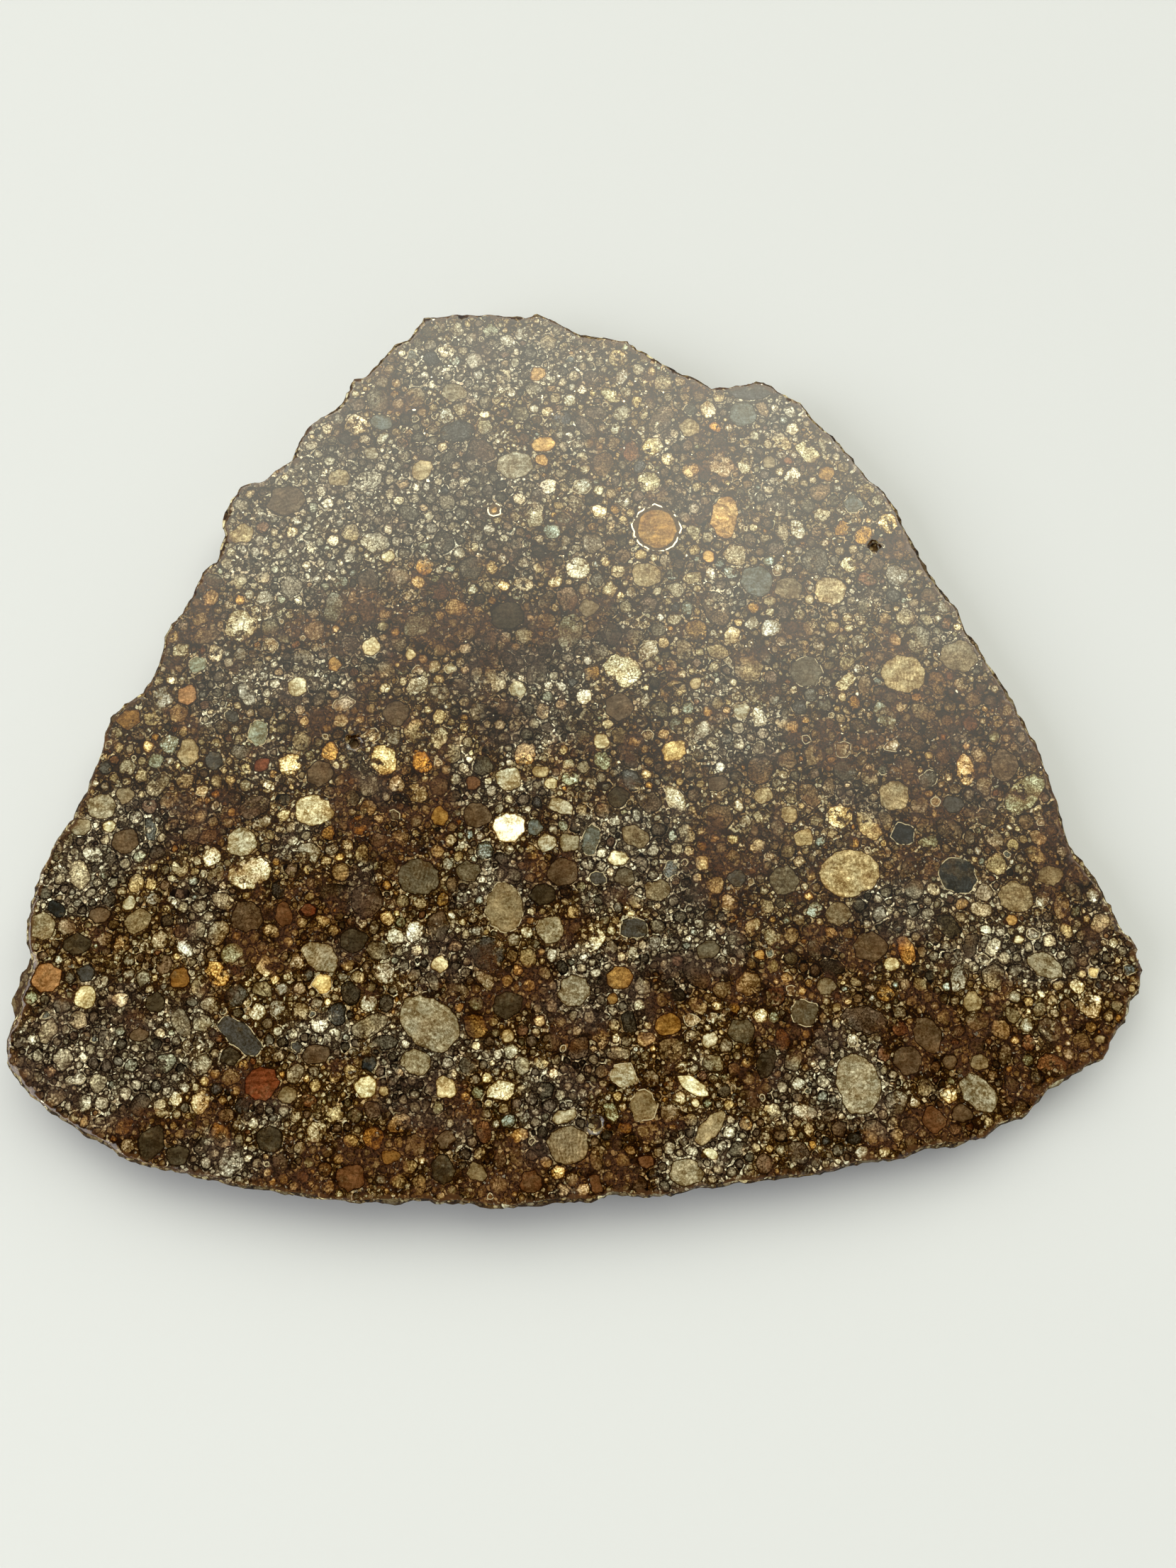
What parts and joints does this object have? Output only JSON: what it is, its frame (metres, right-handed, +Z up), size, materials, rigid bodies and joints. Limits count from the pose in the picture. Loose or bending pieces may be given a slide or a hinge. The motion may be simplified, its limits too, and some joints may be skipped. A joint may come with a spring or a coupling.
{
  "type": "chondrite meteorite slice",
  "caption": "Flat polished slice of an ordinary chondrite with a broken rim, lying on its sawn back.",
  "frame": {"origin": "middle of the slice's box, on the sawn back that it rests on", "axes": "+Z up out of the polished face, +X towards the slice's right corner, +Y towards its peaked end"},
  "size_m": [0.0728, 0.0606, 0.004],
  "materials": {
    "chondrite": "polished face with packed round chondrules in a dark brown matrix, matt sawn back, rough brown rim"
  },
  "bodies": {
    "root": {"meteorite_slice": "chondrite"}
  },
  "joints": []
}
